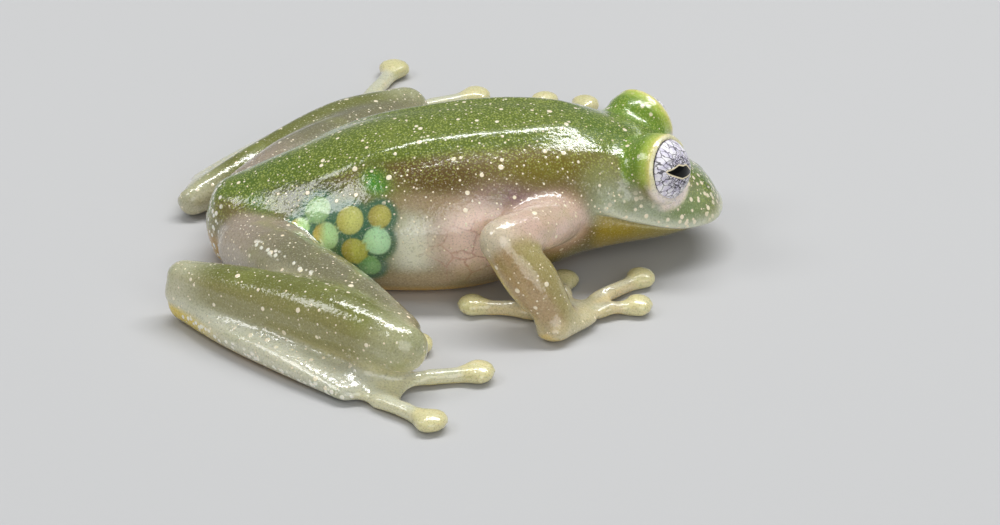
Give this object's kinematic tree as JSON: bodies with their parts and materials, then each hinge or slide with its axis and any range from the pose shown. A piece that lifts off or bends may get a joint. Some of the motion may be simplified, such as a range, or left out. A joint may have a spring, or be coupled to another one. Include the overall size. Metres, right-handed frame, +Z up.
{
  "type": "glass frog",
  "caption": "Tree-dwelling frog with translucent green skin, resting on its belly with folded legs, spread toes with round discs and its head turned slightly.",
  "frame": {"origin": "on the floor below the middle of the belly", "axes": "+X along the body towards the snout, +Y to the frog's left, +Z up from the floor"},
  "size_m": [0.0323, 0.047, 0.0092],
  "materials": {
    "back_skin": "wet, translucent green skin with fine yellow-green grain and small cream spots",
    "limb_skin": "wet, translucent olive skin with small cream spots",
    "digit_skin": "wet, pale yellow translucent skin",
    "eye": "wet and clear over a silver iris with a level black pupil"
  },
  "bodies": {
    "root": {"head": "back_skin", "torso": "back_skin", "eye_right": "eye", "eye_left": "eye", "thigh_right": "limb_skin", "shank_right": "limb_skin", "toe_right_1": "digit_skin", "toe_right_2": "digit_skin", "toe_right_3": "digit_skin", "toe_right_4": "digit_skin", "toe_right_5": "digit_skin", "foot_right": "limb_skin", "thigh_left": "limb_skin", "shank_left": "limb_skin", "toe_left_1": "digit_skin", "toe_left_2": "digit_skin", "toe_left_3": "digit_skin", "toe_left_4": "digit_skin", "toe_left_5": "digit_skin", "foot_left": "limb_skin", "upper_arm_right": "limb_skin", "forearm_right": "limb_skin", "finger_right_1": "digit_skin", "finger_right_2": "digit_skin", "finger_right_3": "digit_skin", "finger_right_4": "digit_skin", "hand_right": "limb_skin", "upper_arm_left": "limb_skin", "forearm_left": "limb_skin", "finger_left_1": "digit_skin", "finger_left_2": "digit_skin", "finger_left_3": "digit_skin", "finger_left_4": "digit_skin", "hand_left": "limb_skin"}
  },
  "joints": []
}
